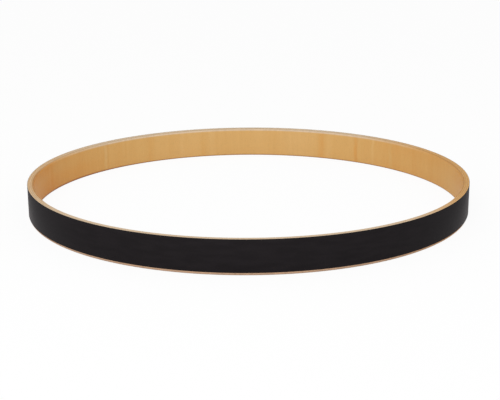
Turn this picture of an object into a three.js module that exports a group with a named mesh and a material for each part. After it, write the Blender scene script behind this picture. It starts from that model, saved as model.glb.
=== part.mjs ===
// Wooden bass drum hoop, lying flat: seven maple plies with staggered joints and a black outer facing.
// Millimetres, +Z up, origin at the centre of the ring on the surface that the hoop lies on.

import * as THREE from "three";

// Overall size of the hoop
const hoopOuterDiameter = 588;
const hoopHeight = 43;

// The lamination, from the inner face outwards
const plyCount = 7;
const plyThickness = 1.2;
const glueLine = 0.05;
const jointGap = 0.1;

// The black facing on the outer side
const facingThickness = 0.35;
const facingFootInset = 0.05;
const facingEdgeBreak = 0.15;

// Round-overs routed on the glued-up ring
const innerTopRoundover = 3.5;
const innerBottomRoundover = 2.25;
const outerBottomRoundover = 3.6;
const roundoverSteps = 4;

// Facets that each leaf of a cross-grain ply takes, clockwise from the first joint, and so the whole ring's
const leafFacetCounts = [28, 22, 24, 20, 26];
const ringFacets = leafFacetCounts.reduce((sum, count) => sum + count);
const facetAngle = (2 * Math.PI) / ringFacets;

// Where the joints lie: the inner face's first one, and the steps from ply to ply and to the facing's seam
const firstJointAzimuth = THREE.MathUtils.degToRad(138);
const plyStaggerFacets = 42;
const facingSeamFacets = 16;

// Radii at the corners of the facets
const hoopOuterRadius = hoopOuterDiameter / 2;
const woodOuterRadius = hoopOuterRadius - facingThickness - glueLine;
const plyPitch = plyThickness + glueLine;
const hoopInnerRadius = woodOuterRadius + glueLine - plyCount * plyPitch;

// The face veneer is amber under its lacquer, and the plies show pale wood at the sanded edges
const faceMaple = new THREE.MeshStandardMaterial({ color: 0xd0a469, roughness: 0.4, metalness: 0 });
const longMaple = new THREE.MeshStandardMaterial({ color: 0xd9be97, roughness: 0.6, metalness: 0 });
const crossMaple = new THREE.MeshStandardMaterial({ color: 0xc9a67b, roughness: 0.65, metalness: 0 });
const blackSatin = new THREE.MeshStandardMaterial({ color: 0x252223, roughness: 0.5, metalness: 0 });

// A level arc, run clockwise so that an outward normal and an upward binormal leave the swept faces outside
class RingArc extends THREE.Curve {
  constructor(radius, startAngle, sweep) {
    super();
    this.radius = radius;
    this.startAngle = startAngle;
    this.sweep = sweep;
  }

  angleAt(t) {
    return this.startAngle - t * this.sweep;
  }

  getPoint(t, target = new THREE.Vector3()) {
    const angle = this.angleAt(t);
    return target.set(this.radius * Math.cos(angle), this.radius * Math.sin(angle), 0);
  }

  computeFrenetFrames(segments) {
    const angles = Array.from({ length: segments + 1 }, (_, index) => this.angleAt(index / segments));
    return {
      tangents: angles.map((angle) => new THREE.Vector3(Math.sin(angle), -Math.cos(angle), 0)),
      normals: angles.map((angle) => new THREE.Vector3(Math.cos(angle), Math.sin(angle), 0)),
      binormals: angles.map(() => new THREE.Vector3(0, 0, 1)),
    };
  }
}

// What a round-over takes off an edge, at a distance in from the side that it starts on
function roundoverDepth(roundover, inset) {
  const reach = Math.max(roundover - inset, 0);
  return roundover - Math.sqrt(roundover ** 2 - reach ** 2);
}

// Distances in from the side at which the facets of a round-over meet
function roundoverInsets(roundover) {
  const stepAngle = Math.PI / 2 / roundoverSteps;
  const turns = Array.from({ length: roundoverSteps }, (_, index) => (index + 1) * stepAngle);
  return turns.map((turn) => roundover * (1 - Math.cos(turn)));
}

function topHeightAt(radius) {
  return hoopHeight - roundoverDepth(innerTopRoundover, radius - hoopInnerRadius);
}

function bottomHeightAt(radius) {
  const innerDepth = roundoverDepth(innerBottomRoundover, radius - hoopInnerRadius);
  const outerDepth = roundoverDepth(outerBottomRoundover, woodOuterRadius - radius);
  return Math.max(innerDepth, outerDepth);
}

const topTurnRadii = roundoverInsets(innerTopRoundover).map((inset) => hoopInnerRadius + inset);
const bottomTurnRadii = [
  ...roundoverInsets(innerBottomRoundover).map((inset) => hoopInnerRadius + inset),
  ...roundoverInsets(outerBottomRoundover).map((inset) => woodOuterRadius - inset).reverse(),
];

// One edge of a ply, from its inner to its outer radius, with a point wherever the hoop's edge turns
function edgeLine(innerRadius, outerRadius, turnRadii, heightAt) {
  const isBetween = (radius) => radius > innerRadius + glueLine && radius < outerRadius - glueLine;
  const radii = [innerRadius, ...turnRadii.filter(isBetween), outerRadius];
  return radii.map((radius) => new THREE.Vector2(radius - innerRadius, heightAt(radius)));
}

// Section of a ply: the hoop's rounded section, cut off at the ply's two faces
function plySection(innerRadius) {
  const outerRadius = innerRadius + plyThickness;
  const bottom = edgeLine(innerRadius, outerRadius, bottomTurnRadii, bottomHeightAt);
  const top = edgeLine(innerRadius, outerRadius, topTurnRadii, topHeightAt);
  return new THREE.Shape([...bottom, ...top.reverse()]);
}

// Section of the facing: it stops where the lower round-over begins, and its outer corners are broken
function facingSection() {
  const foot = outerBottomRoundover + facingFootInset;
  return new THREE.Shape([
    new THREE.Vector2(0, foot),
    new THREE.Vector2(facingThickness - facingEdgeBreak, foot),
    new THREE.Vector2(facingThickness, foot + facingEdgeBreak),
    new THREE.Vector2(facingThickness, hoopHeight - facingEdgeBreak),
    new THREE.Vector2(facingThickness - facingEdgeBreak, hoopHeight),
    new THREE.Vector2(0, hoopHeight),
  ]);
}

// Azimuth of a joint that lies a number of facets clockwise of the first one
function jointAzimuth(facets) {
  return firstJointAzimuth - facets * facetAngle;
}

// A strip swept round part of the ring, half a joint gap short of the joint at either end
function bentStrip(name, section, radius, startFacet, facets, material) {
  const gapAngle = jointGap / radius;
  const startAngle = jointAzimuth(startFacet) - gapAngle / 2;
  const extrudePath = new RingArc(radius, startAngle, facets * facetAngle - gapAngle);
  const geometry = new THREE.ExtrudeGeometry(section, { steps: facets, bevelEnabled: false, extrudePath });
  const strip = new THREE.Mesh(geometry, material);
  strip.name = name;
  return strip;
}

// A long-grain ply is one strip, bent right round to meet its own end
function longGrainPly(number, innerRadius, startFacet) {
  const section = plySection(innerRadius);
  return [bentStrip(`ply_${number}_long_strip`, section, innerRadius, startFacet, ringFacets, longMaple)];
}

// A cross-grain ply is laid from leaves of veneer, side by side
function crossGrainPly(number, label, innerRadius, startFacet, material) {
  const section = plySection(innerRadius);
  let leafStart = startFacet;
  return leafFacetCounts.map((facets, index) => {
    const name = `ply_${number}_${label}_${index + 1}`;
    const leaf = bentStrip(name, section, innerRadius, leafStart, facets, material);
    leafStart += facets;
    return leaf;
  });
}

// The plies in order, cross-grain and long-grain by turns, each with its joints away from its neighbours'
function lamination() {
  const strips = [];
  for (let index = 0; index < plyCount; index += 1) {
    const number = index + 1;
    const innerRadius = hoopInnerRadius + index * plyPitch;
    const startFacet = index * plyStaggerFacets;
    if (index === 0) {
      strips.push(...crossGrainPly(number, "face_veneer", innerRadius, startFacet, faceMaple));
    } else if (index % 2 === 1) {
      strips.push(...longGrainPly(number, innerRadius, startFacet));
    } else {
      const label = number === plyCount ? "outer_veneer" : "cross_veneer";
      strips.push(...crossGrainPly(number, label, innerRadius, startFacet, crossMaple));
    }
  }
  return strips;
}

// The facing is one strip too, glued round the outer ply with its seam at the back
function blackFacing() {
  const section = facingSection();
  const backRadius = hoopOuterRadius - facingThickness;
  return bentStrip("outer_black_facing", section, backRadius, facingSeamFacets, ringFacets, blackSatin);
}

const drumHoop = new THREE.Group();
drumHoop.name = "bass_drum_hoop";
drumHoop.add(...lamination(), blackFacing());

export default drumHoop;
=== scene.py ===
"""A wooden bass drum hoop, lying flat: seven maple plies with staggered joints and a black outer facing."""

import math

import bmesh
import bpy
from bpy.props import FloatProperty, FloatVectorProperty, IntProperty, PointerProperty
from mathutils import Matrix, Vector


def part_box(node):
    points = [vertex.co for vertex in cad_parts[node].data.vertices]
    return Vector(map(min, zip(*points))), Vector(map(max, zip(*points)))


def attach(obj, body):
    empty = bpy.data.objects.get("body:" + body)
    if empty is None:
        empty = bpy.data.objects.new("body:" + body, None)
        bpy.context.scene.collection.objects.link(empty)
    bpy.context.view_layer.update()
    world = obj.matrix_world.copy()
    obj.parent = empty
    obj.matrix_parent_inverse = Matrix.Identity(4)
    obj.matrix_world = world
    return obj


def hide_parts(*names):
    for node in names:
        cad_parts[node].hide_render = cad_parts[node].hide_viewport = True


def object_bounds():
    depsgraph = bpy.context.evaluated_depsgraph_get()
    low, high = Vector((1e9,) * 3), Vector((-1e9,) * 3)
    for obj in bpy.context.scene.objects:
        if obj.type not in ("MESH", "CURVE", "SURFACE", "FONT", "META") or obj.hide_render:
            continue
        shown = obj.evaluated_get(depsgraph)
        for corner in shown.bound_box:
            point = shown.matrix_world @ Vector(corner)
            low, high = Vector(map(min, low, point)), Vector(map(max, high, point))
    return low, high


bl_info = {
    "name": "Wooden Bass Drum Hoop",
    "version": (1, 0, 0),
    "blender": (4, 5, 0),
    "location": "3D View > Sidebar > Drum Hoop",
    "description": "Builds a laminated bass drum hoop in lacquered maple with a satin black outside",
    "category": "Object",
}

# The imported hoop, and its box before anything is dressed
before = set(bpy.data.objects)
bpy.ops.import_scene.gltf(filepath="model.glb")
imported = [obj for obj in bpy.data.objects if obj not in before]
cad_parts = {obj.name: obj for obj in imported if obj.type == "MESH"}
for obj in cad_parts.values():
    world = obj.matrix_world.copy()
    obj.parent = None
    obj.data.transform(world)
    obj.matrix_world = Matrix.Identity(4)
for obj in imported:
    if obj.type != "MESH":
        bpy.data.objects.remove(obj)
CAD_LOW, CAD_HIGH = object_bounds()
MM = 0.001

# The joints lie on facets of three degrees, and each leaf of a cross-laid ply takes a few of them
RING_FACETS = 120
FACET_ANGLE = math.tau / RING_FACETS
LEAF_FACETS = (28, 22, 24, 20, 26)
FIRST_JOINT = math.radians(138)
PLY_STAGGER_FACETS = 42
FACING_SEAM_FACETS = 16
LONG_PLIES = (2, 4, 6)
CORE_CROSS_PLIES = (3, 5)

# How finely the pieces are bent and rounded
STEPS_PER_FACET = 6
ROUNDOVER_SEGMENTS = 8
EDGE_SEGMENTS = 2
SMOOTH_UP_TO = math.radians(30)

# A corner this near to the face of a ply lies on it, so that cutting there leaves no sliver
CUT_SNAP = 0.001 * MM

# Tone of each leaf of the inner face: above zero it is paler than the rest, below zero more orange
FACE_LEAF_TONES = (0.0, 0.0, 0.15, -0.1, 0.0)

# Streaks of the inner face: degrees to the left of the back, half width in degrees, and tone as above. The
# broad ones that turn the wall more orange towards both ends are painted light, standing in for warm light
# that the walls bounce to each other
FACE_STREAKS_AND_BOUNCED_LIGHT = (
    (88.0, 52.0, -0.6),
    (102.0, 16.0, -0.4),
    (84.0, 12.0, -0.35),
    (-100.0, 22.0, -0.4),
    (-17.0, 9.0, 0.3),
    (-64.0, 30.0, -0.3),
    (8.0, 32.0, 0.15),
    (49.2, 0.8, 0.45),
    (32.0, 1.6, -0.15),
    (21.6, 0.9, 0.2),
    (14.6, 1.3, -0.2),
    (11.4, 1.4, 0.2),
    (-23.8, 1.5, -0.3),
    (-26.4, 1.2, 0.25),
    (-35.8, 0.9, -0.4),
    (-42.0, 0.5, 0.4),
    (-49.0, 0.9, 0.25),
    (76.5, 1.2, -0.15),
)

# Where the lacquer ran over the upper round-over, which at the left end is partly painted shade: degrees to
# the left of the back, and half width in degrees
LACQUER_RUNS_AND_SHADE = (
    (100.0, 26.0),
    (-92.0, 40.0),
)

# How far above the start of the upper round-over the lacquer of the inner face thins, and where it is gone
LACQUER_THINS_AT = -0.5 * MM
LACQUER_GONE_AT = 1.5 * MM
LACQUER_UNEVENNESS = 0.3 * MM

# How far above the same line the colour of the runs begins, and where it is full
RUN_BEGINS_AT = 0.3 * MM
RUN_FULL_AT = 2.2 * MM

# How far outwards of the start of the upper edge's flat the runs thin, and where they are gone
RUN_THINS_AT = -0.8 * MM
RUN_GONE_AT = 0.4 * MM

# Painted shade at the foot of the inner face: where it starts to fade, and how far above the round-over it
# is gone
FOOT_FADES_AT = 0.6 * MM
FOOT_OVERLAP = 0.4 * MM

# Towards the left end the painted shade at the foot reaches higher and turns darker, between some degrees to
# the left of the back
FOOT_CHANGES_FROM = 20.0
FOOT_HIGHEST_FROM = 70.0
FOOT_DARKEST_FROM = 60.0
FOOT_EXTRA_REACH = 1.6 * MM
FOOT_FAINTEST = 0.65

# Sanding of the upper edge, which is none at both ends of the hoop and one at its front and its back:
# what patches and the left end add to it, how much the lacquer stands, and how much takes it all off
PATCH_SANDING = 0.2
LEFT_SANDING = 0.2
LACQUER_HOLDS_TO = 0.35
SANDED_OFF_AT = 0.95
PATCH_WIDTH = 30 * MM

# How amber the lacquer on the upper edge looks at the left end, where it is one at the right end
LEFT_AMBER = 0.5

# Heights up to which painted shade darkens the lower edges of the plies, and from which it is gone
SHADED_BELOW = 3 * MM
UNSHADED_ABOVE = 5 * MM

# How a streak wavers and fades up the wall, and how much of its width is solid
WAVER_HEIGHT = 16 * MM
WAVER_DEGREES = 1.2
FADE_HEIGHT = 22 * MM
FAINTEST_STREAK = 0.6
SOLID_SHARE = 0.3

# Widths of what shows in the maple, across its grain, and how far the grain wanders
BAND_WIDTH = 14 * MM
LINE_WIDTH = 3.2 * MM
FIBRE_WIDTH = 0.6 * MM
PORE_WIDTH = 0.4 * MM
WANDER_LENGTH = 30 * MM
WANDER_WIDTH = 3.5 * MM

# How fast the maple changes along its grain, against across it
UPRIGHT_PACE = 0.06
ROUND_PACE = 0.05

# How much the bands count in the figure, beside the lines, and how dark a pore is
BAND_SHARE = 0.55
PORE_SHADE = 0.87

# How far the figure turns the tone of the inner face, which is more orange where the figure is dark
FIGURE_TONE = -0.16

# Steps through the tree from leaf to leaf and from ply to ply, so that no two pieces have the same grain
LEAF_STEP = 3.7
CROSS_PLY_STEP = 11.3
LONG_PLY_STEP = 5.3

# The black facing: its rubbed streaks and its satin skin, and the brown line above its cut lower edge
RUBBED_HEIGHT = 6 * MM
SKIN_WIDTH = 0.8 * MM
CUT_EDGE_BELOW = 0.05 * MM
BLACK_ABOVE = 0.3 * MM

# Roughness of the lacquer and of the wood that it left bare, and depth of the relief of each surface
LACQUER_ROUGHNESS = 0.45
BARE_ROUGHNESS = 0.6
LACQUERED_RELIEF = 0.02 * MM
LONG_GRAIN_RELIEF = 0.03 * MM
END_GRAIN_RELIEF = 0.04 * MM
SATIN_RELIEF = 0.05 * MM


class HoopSizes(bpy.types.PropertyGroup):
    """Sizes of the hoop's lamination and edges."""

    outer_radius: FloatProperty(
        name="Outer Radius", description="Radius of the black facing's outer side",
        default=CAD_HIGH.x, min=0.1, unit="LENGTH", subtype="DISTANCE",
    )
    height: FloatProperty(
        name="Height", description="Height of the hoop, edge to edge",
        default=CAD_HIGH.z, min=0.01, unit="LENGTH", subtype="DISTANCE",
    )
    ply_count: IntProperty(name="Plies", description="Number of wooden plies", default=7, min=1)
    ply_thickness: FloatProperty(
        name="Ply Thickness", description="Thickness of one ply of maple",
        default=1.2 * MM, min=0.2 * MM, precision=4, unit="LENGTH", subtype="DISTANCE",
    )
    glue_line: FloatProperty(
        name="Glue Line", description="Space that the glue takes between two plies",
        default=0.05 * MM, min=0.0, precision=5, unit="LENGTH", subtype="DISTANCE",
    )
    joint_gap: FloatProperty(
        name="Joint Gap", description="Space between the two ends that meet in a joint",
        default=0.1 * MM, min=0.0, precision=5, unit="LENGTH", subtype="DISTANCE",
    )
    joint_edge: FloatProperty(
        name="Joint Edge", description="How far the edges at the end of a strip are eased",
        default=0.06 * MM, min=0.0, precision=5, unit="LENGTH", subtype="DISTANCE",
    )
    inner_top_roundover: FloatProperty(
        name="Inner Top Round-Over", description="Radius routed on the inner corner of the upper edge",
        default=3.5 * MM, min=0.1 * MM, precision=4, unit="LENGTH", subtype="DISTANCE",
    )
    inner_bottom_roundover: FloatProperty(
        name="Inner Bottom Round-Over", description="Radius routed on the inner corner of the lower edge",
        default=2.25 * MM, min=0.1 * MM, precision=4, unit="LENGTH", subtype="DISTANCE",
    )
    outer_bottom_roundover: FloatProperty(
        name="Outer Bottom Round-Over", description="Radius routed on the outer corner of the lower edge",
        default=3.6 * MM, min=0.1 * MM, precision=4, unit="LENGTH", subtype="DISTANCE",
    )
    facing_thickness: FloatProperty(
        name="Facing Thickness", description="Thickness of the black facing",
        default=0.35 * MM, min=0.1 * MM, precision=5, unit="LENGTH", subtype="DISTANCE",
    )
    facing_foot_inset: FloatProperty(
        name="Facing Foot Inset", description="How far above the lower round-over the facing stops",
        default=0.05 * MM, min=0.0, precision=5, unit="LENGTH", subtype="DISTANCE",
    )
    facing_edge_break: FloatProperty(
        name="Facing Edge Break", description="Radius on the outer corners of the facing",
        default=0.15 * MM, min=0.01 * MM, precision=5, unit="LENGTH", subtype="DISTANCE",
    )


class HoopColours(bpy.types.PropertyGroup):
    """Colours of the hoop's woods and of its black facing."""

    amber: FloatVectorProperty(
        name="Amber Maple", description="Face veneer under its amber lacquer",
        default=(0.61, 0.36, 0.127), size=3, min=0.0, max=1.0, subtype="COLOR",
    )
    pale_amber: FloatVectorProperty(
        name="Pale Amber", description="Palest streaks of the face veneer",
        default=(0.66, 0.43, 0.19), size=3, min=0.0, max=1.0, subtype="COLOR",
    )
    deep_amber: FloatVectorProperty(
        name="Deep Amber", description="Darkest streaks of the face veneer",
        default=(0.61, 0.262, 0.055), size=3, min=0.0, max=1.0, subtype="COLOR",
    )
    bare_edge: FloatVectorProperty(
        name="Bare Edge", description="Face veneer where the round-overs cut through its lacquer",
        default=(0.625, 0.475, 0.325), size=3, min=0.0, max=1.0, subtype="COLOR",
    )
    lacquered_edge: FloatVectorProperty(
        name="Lacquered Edge",
        description="What the lacquer does to the edges of the plies where it covers them",
        default=(0.97, 0.71, 0.35), size=3, min=0.0, max=1.0, subtype="COLOR",
    )
    # Partly painted shade: besides the thick lacquer, this colour stands in for shade on the round-over at
    # the left end
    lacquer_run_and_shade: FloatVectorProperty(
        name="Lacquer Run And Shade", description="What the lacquer does to the amber wood where it lies thickest",
        default=(0.88, 0.80, 0.70), size=3, min=0.0, max=1.0, subtype="COLOR",
    )
    # Painted shade: this colour darkens the lower edges of the plies, where they meet the floor
    lower_edge_shade: FloatVectorProperty(
        name="Lower Edge Shade", description="What use does to the lower edges of the plies",
        default=(0.76, 0.63, 0.59), size=3, min=0.0, max=1.0, subtype="COLOR",
    )
    # Painted shade: this colour darkens the lower round-over of the face veneer, where shade falls near the
    # floor
    foot_shade_colour: FloatVectorProperty(
        name="Foot Shade", description="Lower round-over of the face veneer, where the lacquer gathers",
        default=(0.31, 0.10, 0.04), size=3, min=0.0, max=1.0, subtype="COLOR",
    )
    long_grain: FloatVectorProperty(
        name="Long Grain", description="Sanded edges of the plies whose grain runs round the hoop",
        default=(0.50, 0.36, 0.22), size=3, min=0.0, max=1.0, subtype="COLOR",
    )
    end_grain: FloatVectorProperty(
        name="End Grain", description="Sanded edges of the plies whose grain runs up and down",
        default=(0.645, 0.495, 0.34), size=3, min=0.0, max=1.0, subtype="COLOR",
    )
    black: FloatVectorProperty(
        name="Satin Black", description="The facing on the outer side",
        default=(0.0125, 0.0105, 0.0115), size=3, min=0.0, max=1.0, subtype="COLOR",
    )
    black_sheen: FloatVectorProperty(
        name="Black Sheen", description="Tint of the bloom that the black shows when it is seen edge on",
        default=(1.0, 0.9, 0.93), size=3, min=0.0, max=1.0, subtype="COLOR",
    )
    raw_facing: FloatVectorProperty(
        name="Raw Facing", description="Cut lower edge of the facing",
        default=(0.09, 0.05, 0.028), size=3, min=0.0, max=1.0, subtype="COLOR",
    )


class StageSettings(bpy.types.PropertyGroup):
    """Where the camera and the softbox stand, and how bright the studio is."""

    camera_distance: FloatProperty(
        name="Camera Distance", description="Level distance from the hoop's centre to the camera",
        default=1.49360, min=0.5, unit="LENGTH", subtype="DISTANCE",
    )
    camera_height: FloatProperty(
        name="Camera Height", description="Height of the camera above the floor",
        default=0.42630, min=0.0, unit="LENGTH", subtype="DISTANCE",
    )
    camera_pitch: FloatProperty(
        name="Camera Pitch", description="How far the camera looks down",
        default=0.27470, unit="ROTATION", subtype="ANGLE",
    )
    camera_yaw: FloatProperty(
        name="Camera Yaw", description="How far the camera looks to the right",
        default=0.00133, unit="ROTATION", subtype="ANGLE",
    )
    camera_roll: FloatProperty(
        name="Camera Roll", description="How far the camera leans",
        default=-0.00508, unit="ROTATION", subtype="ANGLE",
    )
    camera_lens: FloatProperty(
        name="Lens", description="Focal length in millimetres", default=82.121, min=10.0,
    )
    camera_sensor: FloatProperty(
        name="Sensor", description="Width of the sensor in millimetres", default=36.0, min=1.0,
    )
    ambient: FloatProperty(
        name="Ambient", description="Strength of the even light from all round", default=0.77, min=0.0,
    )
    softbox_power: FloatProperty(
        name="Softbox Power", description="Power of the softbox", default=30.0, min=0.0, unit="POWER",
    )
    softbox_width: FloatProperty(
        name="Softbox Width", description="Width of the square softbox",
        default=1.4, min=0.1, unit="LENGTH", subtype="DISTANCE",
    )
    softbox_distance: FloatProperty(
        name="Softbox Distance", description="Distance from the hoop's centre to the softbox",
        default=2.6, min=0.5, unit="LENGTH", subtype="DISTANCE",
    )
    softbox_azimuth: FloatProperty(
        name="Softbox Azimuth", description="How far to the left of the camera the softbox stands",
        default=math.radians(11), unit="ROTATION", subtype="ANGLE",
    )
    softbox_elevation: FloatProperty(
        name="Softbox Elevation", description="How far above the level the softbox stands",
        default=math.radians(35), unit="ROTATION", subtype="ANGLE",
    )
    floor_width: FloatProperty(
        name="Floor Width", description="Width of the square floor",
        default=16.0, min=1.0, unit="LENGTH", subtype="DISTANCE",
    )
    floor_drop: FloatProperty(
        name="Floor Drop",
        description="How far below the hoop's edge the floor lies, so that they share no plane",
        default=0.1 * MM, min=0.0, precision=5, unit="LENGTH", subtype="DISTANCE",
    )
    floor_brightness: FloatProperty(
        name="Floor Brightness", description="Reflectance of the pale floor", default=0.86, min=0.0, max=1.0,
    )
    floor_shadow: FloatProperty(
        name="Floor Shadow", description="Share of the hoop's shadow that shows on the white floor",
        default=0.08, min=0.0, max=1.0, subtype="FACTOR",
    )


# Radii and heights that follow from the sizes


def wood_outer_radius(sizes):
    return sizes.outer_radius - sizes.facing_thickness - sizes.glue_line


def ply_pitch(sizes):
    return sizes.ply_thickness + sizes.glue_line


def hoop_inner_radius(sizes):
    return wood_outer_radius(sizes) + sizes.glue_line - sizes.ply_count * ply_pitch(sizes)


def ply_inner_radius(sizes, number):
    return hoop_inner_radius(sizes) + (number - 1) * ply_pitch(sizes)


def ply_start_facet(number):
    return (number - 1) * PLY_STAGGER_FACETS


# Shader nodes: helpers that place them in a tree and link them


def connect(tree, value, socket):
    """Links an output into a socket, or sets the socket where the value is a plain one."""
    if isinstance(value, bpy.types.NodeSocket):
        tree.links.new(value, socket)
    else:
        socket.default_value = value


def compute(tree, operation, first, second=0.0):
    node = tree.nodes.new("ShaderNodeMath")
    node.operation = operation
    connect(tree, first, node.inputs[0])
    connect(tree, second, node.inputs[1])
    return node.outputs[0]


def compute_vector(tree, operation, first, second):
    node = tree.nodes.new("ShaderNodeVectorMath")
    node.operation = operation
    connect(tree, first, node.inputs[0])
    connect(tree, second, node.inputs[1])
    return node.outputs[0]


def rise(tree, value, low, high, to_low=0.0, to_high=1.0):
    """A smooth change from one level to another while the value goes from low to high."""
    node = tree.nodes.new("ShaderNodeMapRange")
    node.interpolation_type = "SMOOTHSTEP"
    for name, level in (
        ("Value", value), ("From Min", low), ("From Max", high), ("To Min", to_low), ("To Max", to_high),
    ):
        connect(tree, level, node.inputs[name])
    return node.outputs["Result"]


def fall(tree, value, low, high):
    """A smooth change from one to zero while the value goes from low to high."""
    return rise(tree, value, low, high, to_low=1.0, to_high=0.0)


def swing(tree, level, width):
    """Turns a noise, which lies round a half, into a swing of some width to both sides of zero."""
    return compute(tree, "MULTIPLY", compute(tree, "SUBTRACT", level, 0.5), width)


def noise(tree, vector, place, size, detail=2.0, roughness=0.5):
    """Four-dimensional noise with lumps about as wide as the size, and place as its fourth coordinate."""
    node = tree.nodes.new("ShaderNodeTexNoise")
    node.noise_dimensions = "4D"
    for name, level in (
        ("Vector", vector), ("W", place), ("Scale", 1 / size), ("Detail", detail), ("Roughness", roughness),
    ):
        connect(tree, level, node.inputs[name])
    return node


def mix_colour(tree, share, first, second, blend="MIX"):
    node = tree.nodes.new("ShaderNodeMix")
    node.data_type = "RGBA"
    node.blend_type = blend
    sockets = {socket.identifier: socket for socket in (*node.inputs, *node.outputs)}
    connect(tree, share, sockets["Factor_Float"])
    connect(tree, first, sockets["A_Color"])
    connect(tree, second, sockets["B_Color"])
    return sockets["Result_Color"]


def opaque(colour):
    return (*colour, 1.0)


def grey(tree, level):
    """A grey of some level, which is a share to multiply a colour by."""
    node = tree.nodes.new("ShaderNodeCombineColor")
    for socket in node.inputs:
        connect(tree, level, socket)
    return node.outputs[0]


def new_group(name, inputs, outputs):
    """An empty node group, given back with the nodes for its inputs and its outputs."""
    group = bpy.data.node_groups.new(name, "ShaderNodeTree")
    for socket, kind in inputs:
        group.interface.new_socket(name=socket, in_out="INPUT", socket_type=kind)
    for socket, kind in outputs:
        group.interface.new_socket(name=socket, in_out="OUTPUT", socket_type=kind)
    return group, group.nodes.new("NodeGroupInput"), group.nodes.new("NodeGroupOutput")


def place_group(tree, build, inputs):
    """Places a node group in a tree with its own values, and builds the group the first time."""
    group = bpy.data.node_groups.get(build.__name__) or build(build.__name__)
    node = tree.nodes.new("ShaderNodeGroup")
    node.node_tree = group
    for name, value in inputs.items():
        connect(tree, value, node.inputs[name])
    return node


def ring_place(name):
    """Where a point lies on the ring: its radius, its height, and its degrees to the left of the back."""
    outputs = [(socket, "NodeSocketFloat") for socket in ("Radius", "Height", "Left Of Back")]
    group, _, outside = new_group(name, [], [*outputs, ("Position", "NodeSocketVector")])
    coordinates = group.nodes.new("ShaderNodeTexCoord").outputs["Object"]
    split = group.nodes.new("ShaderNodeSeparateXYZ")
    connect(group, coordinates, split.inputs[0])
    x, y, z = split.outputs
    squares = [compute(group, "POWER", axis, 2.0) for axis in (x, y)]
    radius = compute(group, "SQRT", compute(group, "ADD", *squares))
    turn = compute(group, "ARCTAN2", compute(group, "MULTIPLY", x, -1.0), y)
    connect(group, radius, outside.inputs["Radius"])
    connect(group, z, outside.inputs["Height"])
    connect(group, compute(group, "DEGREES", turn), outside.inputs["Left Of Back"])
    connect(group, coordinates, outside.inputs["Position"])
    return group


def maple_grain(name):
    """Figure, fibre and pores of maple whose grain runs, drawn out, along the vector's third axis."""
    inputs = [("Vector", "NodeSocketVector"), ("Place", "NodeSocketFloat")]
    outputs = [(socket, "NodeSocketFloat") for socket in ("Figure", "Fibre", "Pores", "Relief")]
    group, inside, outside = new_group(name, inputs, outputs)
    vector, place = inside.outputs["Vector"], inside.outputs["Place"]

    # The grain wanders a little as it runs along the piece, in bends that are hardly drawn out
    unstretched = compute_vector(group, "MULTIPLY", vector, (1.0, 1.0, 10.0))
    bend = noise(group, unstretched, place, WANDER_LENGTH, detail=1.0).outputs["Color"]
    offset = compute_vector(group, "SUBTRACT", bend, (0.5, 0.5, 0.5))
    offset = compute_vector(group, "MULTIPLY", offset, (WANDER_WIDTH, WANDER_WIDTH, 0.0))
    wandering = compute_vector(group, "ADD", vector, offset)

    # The figure is bands and lines together, and a pore is short beside a fibre
    bands = noise(group, wandering, place, BAND_WIDTH).outputs[0]
    lines = noise(group, wandering, place, LINE_WIDTH, detail=3.0, roughness=0.6).outputs[0]
    bands = compute(group, "MULTIPLY", bands, BAND_SHARE)
    lines = compute(group, "MULTIPLY", lines, 1 - BAND_SHARE)
    figure = compute(group, "ADD", bands, lines)
    fibre = noise(group, wandering, place, FIBRE_WIDTH).outputs[0]
    shortened = compute_vector(group, "MULTIPLY", wandering, (1.0, 1.0, 2.5))
    specks = noise(group, shortened, place, PORE_WIDTH, detail=0.0).outputs[0]

    # Noise seldom leaves its middle, so each is stretched from a low and a high level, and pores are rare
    figure_levels, fibre_levels, pore_levels = (0.36, 0.64), (0.3, 0.7), (0.66, 0.74)
    pores = rise(group, specks, *pore_levels)
    connect(group, rise(group, figure, *figure_levels), outside.inputs["Figure"])
    connect(group, rise(group, fibre, *fibre_levels), outside.inputs["Fibre"])
    connect(group, pores, outside.inputs["Pores"])

    # Fibres stand half as high as pores are deep
    relief = compute(group, "SUBTRACT", compute(group, "MULTIPLY", fibre, 0.5), pores)
    connect(group, relief, outside.inputs["Relief"])
    return group


def tone_streak(name):
    """A streak that runs up and down the wall, at some degrees to the left of the back."""
    inputs = [(socket, "NodeSocketFloat") for socket in ("Left Of Back", "Height", "Middle", "Half Width")]
    group, inside, outside = new_group(name, inputs, [("Streak", "NodeSocketFloat")])
    left, height, middle, half_width = (inside.outputs[socket] for socket, _ in inputs)
    along = group.nodes.new("ShaderNodeCombineXYZ")
    connect(group, height, along.inputs["Z"])
    waver = noise(group, along.outputs[0], middle, WAVER_HEIGHT, detail=1.0).outputs[0]
    distance = compute(group, "SUBTRACT", left, middle)
    distance = compute(group, "SUBTRACT", distance, swing(group, waver, WAVER_DEGREES))
    distance = compute(group, "ABSOLUTE", distance)
    streak = fall(group, distance, compute(group, "MULTIPLY", half_width, SOLID_SHARE), half_width)
    fading = noise(group, along.outputs[0], half_width, FADE_HEIGHT, detail=0.0).outputs[0]
    strength = rise(group, fading, low=0.3, high=0.6, to_low=FAINTEST_STREAK)
    connect(group, compute(group, "MULTIPLY", streak, strength), outside.inputs["Streak"])
    return group


def streak_at(tree, place, middle, half_width):
    """Places one streak, given the sockets that say where a point lies on the ring."""
    inputs = {socket: place[socket] for socket in ("Left Of Back", "Height")}
    inputs |= {"Middle": middle, "Half Width": half_width}
    return place_group(tree, tone_streak, inputs).outputs["Streak"]


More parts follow.
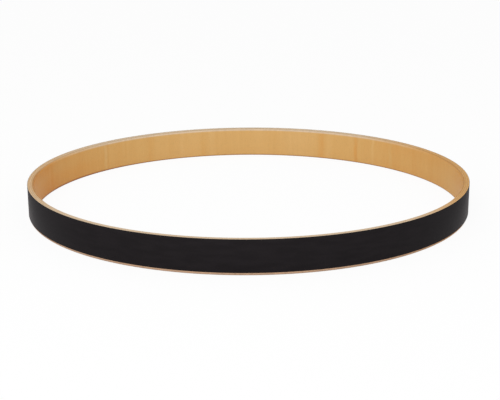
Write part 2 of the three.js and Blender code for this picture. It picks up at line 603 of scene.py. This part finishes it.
def edge_cover(name):
    """Lacquer left on the upper edge: one at both ends of the hoop, none at its front and its back."""
    inputs = [("Position", "NodeSocketVector"), ("Radius", "NodeSocketFloat")]
    outputs = [("Cover", "NodeSocketFloat"), ("Amber", "NodeSocketFloat")]
    group, inside, outside = new_group(name, inputs, outputs)
    position, radius = inside.outputs["Position"], inside.outputs["Radius"]
    split = group.nodes.new("ShaderNodeSeparateXYZ")
    connect(group, position, split.inputs[0])
    across = compute(group, "DIVIDE", split.outputs["X"], radius)
    along = compute(group, "DIVIDE", split.outputs["Y"], radius)

    # The edge was sanded hardest at the front and the back, in patches
    patches = noise(group, position, place=4.0, size=PATCH_WIDTH).outputs[0]
    sanding = compute(group, "ADD", compute(group, "ABSOLUTE", along), swing(group, patches, PATCH_SANDING))
    left_sanding = rise(group, across, -1.0, 1.0, to_low=LEFT_SANDING, to_high=0.0)
    sanding = compute(group, "ADD", sanding, left_sanding)
    cover = fall(group, sanding, LACQUER_HOLDS_TO, SANDED_OFF_AT)
    connect(group, cover, outside.inputs["Cover"])
    amber = compute(group, "MULTIPLY", cover, rise(group, across, -1.0, 1.0, to_low=LEFT_AMBER))
    connect(group, amber, outside.inputs["Amber"])
    return group


def lacquer_runs_and_shade(name):
    """One where the lacquer ran over the upper round-over, at both ends of the hoop, and at the left end
    partly painted shade.
    """
    inputs = [(socket, "NodeSocketFloat") for socket in ("Left Of Back", "Height", "Radius", "Flat From")]
    group, inside, outside = new_group(name, inputs, [("Run", "NodeSocketFloat")])
    radius, flat_from = inside.outputs["Radius"], inside.outputs["Flat From"]
    run_with_shade = 0.0
    for middle, half_width in LACQUER_RUNS_AND_SHADE:
        run_with_shade = compute(group, "ADD", run_with_shade, streak_at(group, inside.outputs, middle, half_width))
    outwards = compute(group, "SUBTRACT", radius, flat_from)
    rounded = fall(group, outwards, RUN_THINS_AT, RUN_GONE_AT)
    connect(group, compute(group, "MULTIPLY", run_with_shade, rounded), outside.inputs["Run"])
    return group


def grained_wood(name):
    """A wood colour with its figure, fibre and pores laid over it, each to its own depth."""
    levels = ("Figure", "Fibre", "Pores", "Figure Depth", "Fibre Depth")
    inputs = [("Colour", "NodeSocketColor"), *((socket, "NodeSocketFloat") for socket in levels)]
    group, inside, outside = new_group(name, inputs, [("Colour", "NodeSocketColor")])
    level = rise(group, inside.outputs["Pores"], 0.0, 1.0, to_low=1.0, to_high=PORE_SHADE)
    for part in ("Figure", "Fibre"):
        depth = inside.outputs[f"{part} Depth"]
        bright = compute(group, "ADD", 1.0, depth)
        dark = compute(group, "SUBTRACT", 1.0, depth)
        shade = rise(group, inside.outputs[part], 0.0, 1.0, to_low=bright, to_high=dark)
        level = compute(group, "MULTIPLY", level, shade)
    colour = mix_colour(group, 1.0, inside.outputs["Colour"], grey(group, level), blend="MULTIPLY")
    connect(group, colour, outside.inputs["Colour"])
    return group


def lacquered_shaded_edge(name):
    """Sanded edge of a ply, in its own wood colour, with the lacquer that it took and painted shade towards
    its lower edge.
    """
    colours = ("Colour", "Lacquered Edge", "Lacquer Run And Shade", "Lower Edge Shade")
    inputs = [(socket, "NodeSocketColor") for socket in colours]
    inputs += [(socket, "NodeSocketFloat") for socket in ("Lacquer", "Run", "Height")]
    group, inside, outside = new_group(name, inputs, [("Colour", "NodeSocketColor")])
    wood, lacquered, run_and_shade_colour, shade_colour, lacquer, run_with_shade, height = (inside.outputs[socket] for socket, _ in inputs)
    lacquer = compute(group, "MAXIMUM", lacquer, run_with_shade)
    colour = mix_colour(group, lacquer, wood, lacquered, blend="MULTIPLY")
    # The run darkens the edge, and at the left end it is partly painted shade
    colour = mix_colour(group, run_with_shade, colour, run_and_shade_colour, blend="MULTIPLY")
    # Painted shade towards the floor
    shaded = fall(group, height, SHADED_BELOW, UNSHADED_ABOVE)
    connect(group, mix_colour(group, shaded, colour, shade_colour, blend="MULTIPLY"), outside.inputs["Colour"])
    return group


def new_material(name, colour, roughness, specular):
    """A material whose shader has plain values, for its patterns to be linked into."""
    material = bpy.data.materials.new(name)
    material.use_nodes = True
    material.diffuse_color = opaque(colour)
    shader = material.node_tree.nodes["Principled BSDF"]
    shader.inputs["Base Color"].default_value = opaque(colour)
    shader.inputs["Roughness"].default_value = roughness
    shader.inputs["Specular IOR Level"].default_value = specular
    return material, material.node_tree, shader


def raise_surface(tree, shader, relief, depth):
    """Gives the shader a fine relief of some depth in metres."""
    bump = tree.nodes.new("ShaderNodeBump")
    bump.inputs["Distance"].default_value = depth
    connect(tree, relief, bump.inputs["Height"])
    connect(tree, bump.outputs["Normal"], shader.inputs["Normal"])


def leaf_value(tree, name):
    """A value that the leaves of a ply carry, each its own."""
    attribute = tree.nodes.new("ShaderNodeAttribute")
    attribute.attribute_name = name
    return attribute.outputs["Fac"]


def upright_grain(tree, place):
    """Grain that runs up and down, so that it shows as lines on the wall and as end grain on the edges."""
    mapping = tree.nodes.new("ShaderNodeMapping")
    mapping.inputs["Scale"].default_value = (1.0, 1.0, UPRIGHT_PACE)
    connect(tree, place.outputs["Position"], mapping.inputs["Vector"])
    inputs = {"Vector": mapping.outputs[0], "Place": leaf_value(tree, "leaf_place")}
    return place_group(tree, maple_grain, inputs)


def round_grain(tree, place):
    """Grain that runs round the hoop, with radius and height across it and no seam along it."""
    split = tree.nodes.new("ShaderNodeSeparateXYZ")
    connect(tree, place.outputs["Position"], split.inputs[0])
    vector = tree.nodes.new("ShaderNodeCombineXYZ")
    connect(tree, place.outputs["Radius"], vector.inputs["X"])
    connect(tree, place.outputs["Height"], vector.inputs["Y"])
    connect(tree, compute(tree, "MULTIPLY", split.outputs["X"], ROUND_PACE), vector.inputs["Z"])
    along = compute(tree, "MULTIPLY", split.outputs["Y"], ROUND_PACE / LINE_WIDTH)
    place_value = compute(tree, "ADD", along, leaf_value(tree, "leaf_place"))
    return place_group(tree, maple_grain, {"Vector": vector.outputs[0], "Place": place_value})


def grained(tree, grain, colour, figure_depth, fibre_depth):
    """Lays the grain over a wood colour, so deep in its figure and so deep in its fibre."""
    inputs = {part: grain.outputs[part] for part in ("Figure", "Fibre", "Pores")}
    inputs |= {"Colour": colour, "Figure Depth": figure_depth, "Fibre Depth": fibre_depth}
    return place_group(tree, grained_wood, inputs).outputs["Colour"]


def lacquer_left(tree, place):
    """What is left of the lacquer on the upper edge."""
    inputs = {name: place.outputs[name] for name in ("Position", "Radius")}
    return place_group(tree, edge_cover, inputs)


def run_and_shade_depth(tree, place, sizes):
    """How thick the lacquer lies where it ran over the upper round-over, with painted shade in the run at
    the left end.
    """
    inputs = {name: place.outputs[name] for name in ("Left Of Back", "Height", "Radius")}
    inputs["Flat From"] = hoop_inner_radius(sizes) + sizes.inner_top_roundover
    return place_group(tree, lacquer_runs_and_shade, inputs).outputs["Run"]


def ply_edge(tree, place, grain, sizes, colours, wood):
    """Colour of a ply's sanded edges, from the colour of its wood."""
    inputs = {
        "Colour": grained(tree, grain, opaque(wood), figure_depth=0.08, fibre_depth=0.07),
        "Lacquered Edge": opaque(colours.lacquered_edge),
        "Lacquer Run And Shade": opaque(colours.lacquer_run_and_shade),
        "Run": run_and_shade_depth(tree, place, sizes),
        "Lower Edge Shade": opaque(colours.lower_edge_shade),
        "Lacquer": lacquer_left(tree, place).outputs["Amber"],
        "Height": place.outputs["Height"],
    }
    return place_group(tree, lacquered_shaded_edge, inputs).outputs["Colour"]


def wall_tone(tree, place, grain):
    """Tone of the inner face: above zero it is paler than the rest, below zero more orange."""
    tone = swing(tree, grain.outputs["Figure"], FIGURE_TONE)
    tone = compute(tree, "ADD", tone, leaf_value(tree, "leaf_tone"))
    # Broad streaks towards both ends are painted light bounced between the walls; the narrow ones are the
    # wood's own
    for middle, half_width, strength in FACE_STREAKS_AND_BOUNCED_LIGHT:
        streak = streak_at(tree, place.outputs, middle, half_width)
        tone = compute(tree, "ADD", tone, compute(tree, "MULTIPLY", streak, strength))
    return tone


def lacquered_wall(tree, place, grain, colours):
    """Colour of the inner face under its amber lacquer."""
    tone = wall_tone(tree, place, grain)
    paler = compute(tree, "MAXIMUM", tone, 0.0)
    deeper = compute(tree, "MAXIMUM", compute(tree, "MULTIPLY", tone, -1.0), 0.0)
    amber = mix_colour(tree, paler, opaque(colours.amber), opaque(colours.pale_amber))
    amber = mix_colour(tree, deeper, amber, opaque(colours.deep_amber))
    return grained(tree, grain, amber, figure_depth=0.008, fibre_depth=0.015)


def painted_foot_shade(tree, left, level, sizes):
    """How much painted shade lies on the foot of the inner face: darkest at the left end, where it also
    reaches highest.
    """
    low_top = sizes.inner_bottom_roundover + FOOT_OVERLAP
    top = rise(tree, left, FOOT_CHANGES_FROM, FOOT_HIGHEST_FROM, low_top, low_top + FOOT_EXTRA_REACH)
    darkness = rise(tree, left, FOOT_CHANGES_FROM, FOOT_DARKEST_FROM, to_low=FOOT_FAINTEST)
    return compute(tree, "MULTIPLY", fall(tree, level, FOOT_FADES_AT, top), darkness)


def face_maple(sizes, colours):
    """Face veneer: amber lacquer over upright grain, and bare wood where the round-overs cut into it."""
    material, tree, shader = new_material("face_maple", colours.amber, LACQUER_ROUGHNESS, specular=0.07)
    place = place_group(tree, ring_place, {})
    grain = upright_grain(tree, place)

    # The lacquer stops where the upper round-over begins, in a line that is never quite even
    uneven = swing(tree, grain.outputs["Fibre"], LACQUER_UNEVENNESS)
    level = compute(tree, "ADD", place.outputs["Height"], uneven)
    top = sizes.height - sizes.inner_top_roundover
    bare = rise(tree, level, top + LACQUER_THINS_AT, top + LACQUER_GONE_AT)
    cover = lacquer_left(tree, place).outputs["Cover"]
    bare = compute(tree, "MULTIPLY", bare, compute(tree, "SUBTRACT", 1.0, cover))
    edge = grained(tree, grain, opaque(colours.bare_edge), figure_depth=0.05, fibre_depth=0.06)
    colour = mix_colour(tree, bare, lacquered_wall(tree, place, grain, colours), edge)

    # It ran over the round-over at both ends of the hoop, which at the left end is partly painted shade
    run_with_shade = rise(tree, level, top + RUN_BEGINS_AT, top + RUN_FULL_AT)
    run_with_shade = compute(tree, "MULTIPLY", run_with_shade, run_and_shade_depth(tree, place, sizes))
    colour = mix_colour(tree, run_with_shade, colour, opaque(colours.lacquer_run_and_shade), blend="MULTIPLY")
    # Painted shade at the foot of the wall, where it meets the floor
    foot = painted_foot_shade(tree, place.outputs["Left Of Back"], level, sizes)
    colour = mix_colour(tree, foot, colour, opaque(colours.foot_shade_colour))

    roughness = rise(tree, bare, 0.0, 1.0, LACQUER_ROUGHNESS, BARE_ROUGHNESS)
    connect(tree, colour, shader.inputs["Base Color"])
    connect(tree, roughness, shader.inputs["Roughness"])
    raise_surface(tree, shader, grain.outputs["Relief"], LACQUERED_RELIEF)
    return material


def long_maple(sizes, colours):
    """Plies whose grain runs round the hoop, sanded at the edges."""
    wood = colours.long_grain
    material, tree, shader = new_material("long_maple", wood, roughness=0.6, specular=0.15)
    place = place_group(tree, ring_place, {})
    grain = round_grain(tree, place)
    connect(tree, ply_edge(tree, place, grain, sizes, colours, wood), shader.inputs["Base Color"])
    raise_surface(tree, shader, grain.outputs["Relief"], LONG_GRAIN_RELIEF)
    return material


def cross_maple(sizes, colours):
    """Plies whose grain runs up and down, so that their sanded edges are end grain."""
    wood = colours.end_grain
    material, tree, shader = new_material("cross_maple", wood, roughness=0.66, specular=0.15)
    place = place_group(tree, ring_place, {})
    grain = upright_grain(tree, place)
    connect(tree, ply_edge(tree, place, grain, sizes, colours, wood), shader.inputs["Base Color"])
    raise_surface(tree, shader, grain.outputs["Relief"], END_GRAIN_RELIEF)
    return material


def satin_black(sizes, colours):
    """The black facing: a fine satin skin, faint rubbing, and a brown line where its lower edge was cut."""
    material, tree, shader = new_material("satin_black", colours.black, roughness=0.58, specular=0.035)
    shader.inputs["Sheen Weight"].default_value = 0.1
    shader.inputs["Sheen Roughness"].default_value = 0.22
    shader.inputs["Sheen Tint"].default_value = opaque(colours.black_sheen)
    place = place_group(tree, ring_place, {})
    position = place.outputs["Position"]

    # The rubbing lies in streaks round the hoop, five times as long as they are high
    streaks = compute_vector(tree, "MULTIPLY", position, (0.2, 0.2, 1.0))
    rubbed = noise(tree, streaks, place=0.0, size=RUBBED_HEIGHT, detail=4.0).outputs[0]
    shade = rise(tree, rubbed, low=0.35, high=0.65, to_low=0.9, to_high=1.1)
    black = mix_colour(tree, 1.0, opaque(colours.black), grey(tree, shade), blend="MULTIPLY")
    foot = sizes.outer_bottom_roundover + sizes.facing_foot_inset
    cut = fall(tree, place.outputs["Height"], foot + CUT_EDGE_BELOW, foot + BLACK_ABOVE)
    connect(tree, mix_colour(tree, cut, black, opaque(colours.raw_facing)), shader.inputs["Base Color"])
    roughness = rise(tree, rubbed, low=0.3, high=0.7, to_low=0.56, to_high=0.6)
    connect(tree, roughness, shader.inputs["Roughness"])
    skin = noise(tree, position, place=1.0, size=SKIN_WIDTH).outputs[0]
    raise_surface(tree, shader, skin, SATIN_RELIEF)
    return material


# Making a strip: its section is drawn upright at azimuth zero, turned to the joint and spun round


def everything(bm):
    return [*bm.verts, *bm.edges, *bm.faces]


def plain_section(low, high, bottom, top):
    """An upright rectangle at azimuth zero, with its corners in turn from the inner bottom one outwards."""
    bm = bmesh.new()
    places = ((low, bottom), (high, bottom), (high, top), (low, top))
    corners = [bm.verts.new((x, 0, z)) for x, z in places]
    bm.faces.new(corners)
    return bm, corners


def round_corner(bm, corner, radius, segments):
    bmesh.ops.bevel(
        bm, geom=[corner], offset=radius, offset_type="OFFSET", segments=segments,
        profile=0.5, affect="VERTICES", material=-1,
    )


def wooden_section(sizes):
    """Section of the whole glued-up ring, with its three routed corners."""
    low, high = hoop_inner_radius(sizes), wood_outer_radius(sizes)
    bm, (inner_bottom, outer_bottom, _, inner_top) = plain_section(low, high, 0.0, sizes.height)
    round_corner(bm, inner_top, sizes.inner_top_roundover, ROUNDOVER_SEGMENTS)
    round_corner(bm, inner_bottom, sizes.inner_bottom_roundover, ROUNDOVER_SEGMENTS)
    round_corner(bm, outer_bottom, sizes.outer_bottom_roundover, ROUNDOVER_SEGMENTS)
    return bm


def cut_section(bm, radius, towards):
    """Cuts a section at a radius and takes away what lies outwards of it, or inwards for minus one."""
    bmesh.ops.bisect_plane(
        bm, geom=everything(bm), dist=CUT_SNAP, plane_co=(radius, 0, 0), plane_no=(towards, 0, 0),
        clear_outer=True,
    )


def ply_section(sizes, number):
    """The part of the ring's section that is one ply."""
    bm = wooden_section(sizes)
    inner_radius = ply_inner_radius(sizes, number)
    cut_section(bm, inner_radius, -1)
    cut_section(bm, inner_radius + sizes.ply_thickness, 1)
    return bm


def facing_section(sizes):
    """Section of the black facing, with the outer corners of its edges eased."""
    high = sizes.outer_radius
    low = high - sizes.facing_thickness
    foot = sizes.outer_bottom_roundover + sizes.facing_foot_inset
    bm, (_, outer_bottom, outer_top, _) = plain_section(low, high, foot, sizes.height)
    for corner in (outer_bottom, outer_top):
        round_corner(bm, corner, sizes.facing_edge_break, EDGE_SEGMENTS)
    return bm


def bend_strip(bm, sizes, start_facet, facets):
    """Spins a section clockwise from one joint to the next and eases the edges of the two ends."""
    radius = min(vert.co.x for vert in bm.verts)
    gap = sizes.joint_gap / radius
    start = FIRST_JOINT - start_facet * FACET_ANGLE - gap / 2
    turn = Matrix.Rotation(start, 3, "Z")
    bmesh.ops.rotate(bm, verts=bm.verts, cent=(0, 0, 0), matrix=turn)
    ends = list(bm.faces)
    spun = bmesh.ops.spin(
        bm, geom=everything(bm), cent=(0, 0, 0), axis=(0, 0, 1), dvec=(0, 0, 0),
        angle=gap - facets * FACET_ANGLE, steps=facets * STEPS_PER_FACET,
        use_merge=False, use_duplicate=False,
    )
    ends += [item for item in spun["geom_last"] if isinstance(item, bmesh.types.BMFace)]
    bmesh.ops.recalc_face_normals(bm, faces=bm.faces)
    rims = list({edge for face in ends for edge in face.edges})
    bmesh.ops.bevel(
        bm, geom=rims, offset=sizes.joint_edge, offset_type="OFFSET", segments=EDGE_SEGMENTS,
        profile=0.5, affect="EDGES", material=-1,
    )


def lay_piece(bm, name, node, material, leaf_values):
    """Turns a bent strip into a piece that stands for its node and rides on the hoop."""
    if any(len(edge.link_faces) != 2 for edge in bm.edges):
        raise RuntimeError(f"{name} isn't closed")
    mesh = bpy.data.meshes.new(name)
    bm.to_mesh(mesh)
    bm.free()
    mesh.shade_smooth()
    mesh.set_sharp_from_angle(angle=SMOOTH_UP_TO)
    for attribute, value in leaf_values.items():
        layer = mesh.attributes.new(attribute, "FLOAT", "POINT")
        layer.data.foreach_set("value", [value] * len(mesh.vertices))
    mesh.materials.append(material)
    piece = bpy.data.objects.new(name, mesh)
    bpy.context.scene.collection.objects.link(piece)
    check_against_node(piece, node)
    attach(piece, "root")
    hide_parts(node)


def check_against_node(piece, node):
    """Raises an error if a piece reaches further than the facets of the node that it stands for."""
    slack = 0.2 * MM
    low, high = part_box(node)
    for corner in piece.bound_box:
        if any(corner[axis] < low[axis] - slack or corner[axis] > high[axis] + slack for axis in range(3)):
            raise RuntimeError(f"{piece.name} reaches outside {node}")


def lay_cross_ply(sizes, number, label, piece_label, material, tones=None):
    """Lays the leaves of a cross-laid ply, each with its own place in the tree, and its own tone if any."""
    start_facet = ply_start_facet(number)
    for index, facets in enumerate(LEAF_FACETS):
        bm = ply_section(sizes, number)
        bend_strip(bm, sizes, start_facet, facets)
        leaf = index + 1
        leaf_values = {"leaf_place": LEAF_STEP * leaf + CROSS_PLY_STEP * number}
        if tones:
            leaf_values["leaf_tone"] = tones[index]
        node = f"ply_{number}_{label}_{leaf}"
        lay_piece(bm, f"{piece_label}_{number}_{leaf}", node, material, leaf_values)
        start_facet += facets


class DRUM_HOOP_OT_face_veneers(bpy.types.Operator):
    """Lay the five lacquered leaves of the inner face"""

    bl_idname = "drum_hoop.face_veneers"
    bl_label = "Face Veneers"

    def execute(self, context):
        sizes, colours = context.scene.hoop_sizes, context.scene.hoop_colours
        material = face_maple(sizes, colours)
        lay_cross_ply(sizes, 1, "face_veneer", "face_leaf", material, FACE_LEAF_TONES)
        return {"FINISHED"}


class DRUM_HOOP_OT_long_strips(bpy.types.Operator):
    """Bend the three long-grain strips, each once round the hoop"""

    bl_idname = "drum_hoop.long_strips"
    bl_label = "Long-Grain Strips"

    def execute(self, context):
        sizes = context.scene.hoop_sizes
        material = long_maple(sizes, context.scene.hoop_colours)
        for number in LONG_PLIES:
            bm = ply_section(sizes, number)
            bend_strip(bm, sizes, ply_start_facet(number), RING_FACETS)
            node = f"ply_{number}_long_strip"
            leaf_values = {"leaf_place": LONG_PLY_STEP * number}
            lay_piece(bm, f"long_strip_{number}", node, material, leaf_values)
        return {"FINISHED"}


class DRUM_HOOP_OT_cross_veneers(bpy.types.Operator):
    """Lay the leaves of the two cross-laid core plies and of the outer ply"""

    bl_idname = "drum_hoop.cross_veneers"
    bl_label = "Cross Veneers"

    def execute(self, context):
        sizes = context.scene.hoop_sizes
        material = cross_maple(sizes, context.scene.hoop_colours)
        for number in CORE_CROSS_PLIES:
            lay_cross_ply(sizes, number, "cross_veneer", "core_leaf", material)
        lay_cross_ply(sizes, sizes.ply_count, "outer_veneer", "outer_leaf", material)
        return {"FINISHED"}


class DRUM_HOOP_OT_black_facing(bpy.types.Operator):
    """Wrap the black facing round the outer side"""

    bl_idname = "drum_hoop.black_facing"
    bl_label = "Black Facing"

    def execute(self, context):
        sizes, colours = context.scene.hoop_sizes, context.scene.hoop_colours
        bm = facing_section(sizes)
        bend_strip(bm, sizes, FACING_SEAM_FACETS, RING_FACETS)
        material = satin_black(sizes, colours)
        lay_piece(bm, "black_facing_strip", "outer_black_facing", material, {})
        return {"FINISHED"}


class DRUM_HOOP_OT_stage(bpy.types.Operator):
    """Set up the white floor, the soft light and the camera"""

    bl_idname = "drum_hoop.stage"
    bl_label = "Studio Stage"

    def execute(self, context):
        stage = context.scene.hoop_stage
        make_floor(stage)
        make_world(stage)
        make_softbox(stage)
        make_camera(stage)
        context.scene.view_settings.view_transform = "Standard"
        return {"FINISHED"}


def seen_directly(tree):
    """One for camera, mirror and glass rays, and zero for those that light the hoop."""
    path = tree.nodes.new("ShaderNodeLightPath")
    either = compute(tree, "MAXIMUM", path.outputs["Is Camera Ray"], path.outputs["Is Glossy Ray"])
    return compute(tree, "MAXIMUM", either, path.outputs["Is Transmission Ray"])


def make_floor(stage):
    """A wide pale floor that looks white and keeps a faint shadow of the hoop."""
    bm = bmesh.new()
    bmesh.ops.create_grid(bm, x_segments=1, y_segments=1, size=stage.floor_width / 2)
    bmesh.ops.translate(bm, verts=bm.verts, vec=(0, 0, -stage.floor_drop))
    mesh = bpy.data.meshes.new("studio_floor")
    bm.to_mesh(mesh)
    bm.free()
    floor = bpy.data.objects.new("studio_floor", mesh)
    bpy.context.scene.collection.objects.link(floor)

    pale = (stage.floor_brightness,) * 3
    material, tree, shader = new_material("studio_floor", pale, roughness=0.9, specular=0.0)
    mesh.materials.append(material)
    white = tree.nodes.new("ShaderNodeEmission")
    shown = tree.nodes.new("ShaderNodeMixShader")
    chosen = tree.nodes.new("ShaderNodeMixShader")
    shown.inputs["Fac"].default_value = stage.floor_shadow
    tree.links.new(white.outputs[0], shown.inputs[1])
    tree.links.new(shader.outputs[0], shown.inputs[2])
    tree.links.new(seen_directly(tree), chosen.inputs["Fac"])
    tree.links.new(shader.outputs[0], chosen.inputs[1])
    tree.links.new(shown.outputs[0], chosen.inputs[2])
    tree.links.new(chosen.outputs[0], tree.nodes["Material Output"].inputs["Surface"])


def make_world(stage):
    """Even light from all round, which the camera sees as plain white."""
    world = bpy.data.worlds.new("studio")
    world.use_nodes = True
    bpy.context.scene.world = world
    tree = world.node_tree
    background = tree.nodes["Background"]
    background.inputs["Color"].default_value = (1, 1, 1, 1)
    strength = rise(tree, seen_directly(tree), 0.0, 1.0, to_low=stage.ambient)
    connect(tree, strength, background.inputs["Strength"])


def make_softbox(stage):
    """A large square softbox, above the camera and to its left."""
    light = bpy.data.lights.new("softbox", "AREA")
    light.size = stage.softbox_width
    light.energy = stage.softbox_power
    softbox = bpy.data.objects.new("softbox", light)
    bpy.context.scene.collection.objects.link(softbox)
    level = math.cos(stage.softbox_elevation)
    towards = Vector((
        -math.sin(stage.softbox_azimuth) * level,
        -math.cos(stage.softbox_azimuth) * level,
        math.sin(stage.softbox_elevation),
    ))
    softbox.location = towards * stage.softbox_distance
    softbox.rotation_euler = towards.to_track_quat("Z", "Y").to_euler()


def make_camera(stage):
    """The photograph's camera, which looks slightly down on the hoop from in front."""
    data = bpy.data.cameras.new("camera")
    data.sensor_width = stage.camera_sensor
    data.lens = stage.camera_lens
    camera = bpy.data.objects.new("camera", data)
    bpy.context.scene.collection.objects.link(camera)
    yaw = Matrix.Rotation(-stage.camera_yaw, 4, "Z")
    pitch = Matrix.Rotation(math.pi / 2 - stage.camera_pitch, 4, "X")
    roll = Matrix.Rotation(stage.camera_roll, 4, "Z")
    place = Matrix.Translation((0, -stage.camera_distance, stage.camera_height))
    camera.matrix_world = place @ yaw @ pitch @ roll
    bpy.context.scene.camera = camera


class DRUM_HOOP_PT_panel(bpy.types.Panel):
    """Sizes, colours and steps of the drum hoop"""

    bl_idname = "DRUM_HOOP_PT_panel"
    bl_label = "Drum Hoop"
    bl_space_type = "VIEW_3D"
    bl_region_type = "UI"
    bl_category = "Drum Hoop"

    def draw(self, context):
        for group in (context.scene.hoop_sizes, context.scene.hoop_colours, context.scene.hoop_stage):
            box = self.layout.box()
            for name in group.__annotations__:
                box.prop(group, name)
        column = self.layout.column()
        for operator in OPERATORS:
            column.operator(operator.bl_idname)


PROPERTY_GROUPS = {"hoop_sizes": HoopSizes, "hoop_colours": HoopColours, "hoop_stage": StageSettings}
OPERATORS = (
    DRUM_HOOP_OT_face_veneers,
    DRUM_HOOP_OT_long_strips,
    DRUM_HOOP_OT_cross_veneers,
    DRUM_HOOP_OT_black_facing,
    DRUM_HOOP_OT_stage,
)


def register():
    for name, group in PROPERTY_GROUPS.items():
        bpy.utils.register_class(group)
        setattr(bpy.types.Scene, name, PointerProperty(type=group))
    for operator in OPERATORS:
        bpy.utils.register_class(operator)
    bpy.utils.register_class(DRUM_HOOP_PT_panel)


def unregister():
    bpy.utils.unregister_class(DRUM_HOOP_PT_panel)
    for operator in reversed(OPERATORS):
        bpy.utils.unregister_class(operator)
    for name, group in reversed(PROPERTY_GROUPS.items()):
        delattr(bpy.types.Scene, name)
        bpy.utils.unregister_class(group)


def main():
    register()
    bpy.ops.drum_hoop.face_veneers()
    bpy.ops.drum_hoop.long_strips()
    bpy.ops.drum_hoop.cross_veneers()
    bpy.ops.drum_hoop.black_facing()
    bpy.ops.drum_hoop.stage()


if __name__ == "__main__":
    main()
